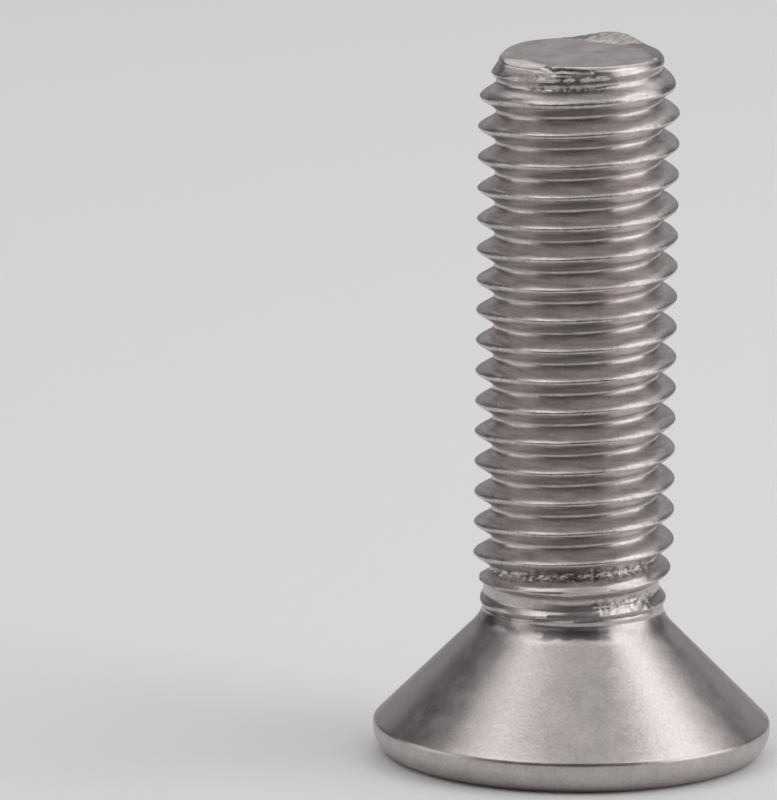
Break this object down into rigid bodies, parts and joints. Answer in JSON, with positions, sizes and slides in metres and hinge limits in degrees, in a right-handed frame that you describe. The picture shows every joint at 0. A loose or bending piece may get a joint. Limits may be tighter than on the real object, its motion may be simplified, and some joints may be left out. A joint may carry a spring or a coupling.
{
  "type": "countersunk socket screw",
  "caption": "Machine screw with a flat 90 degree countersunk head, a hexagon socket and a rolled right-hand metric thread up to the neck.",
  "frame": {"origin": "centre of the flat head face, on the screw's axis, which is also the middle of the underside of its box: the screw stands on its head", "axes": "+Z along the screw's axis from the head face to the tip; the hexagon socket has two flats square to X and two corners on Y"},
  "size_m": [0.0194, 0.0194, 0.0347],
  "materials": {
    "stainless_steel": "bright cold-formed stainless steel, faintly mottled, with rolled thread flanks"
  },
  "bodies": {
    "root": {"countersunk_socket_screw": "stainless_steel"}
  },
  "joints": []
}
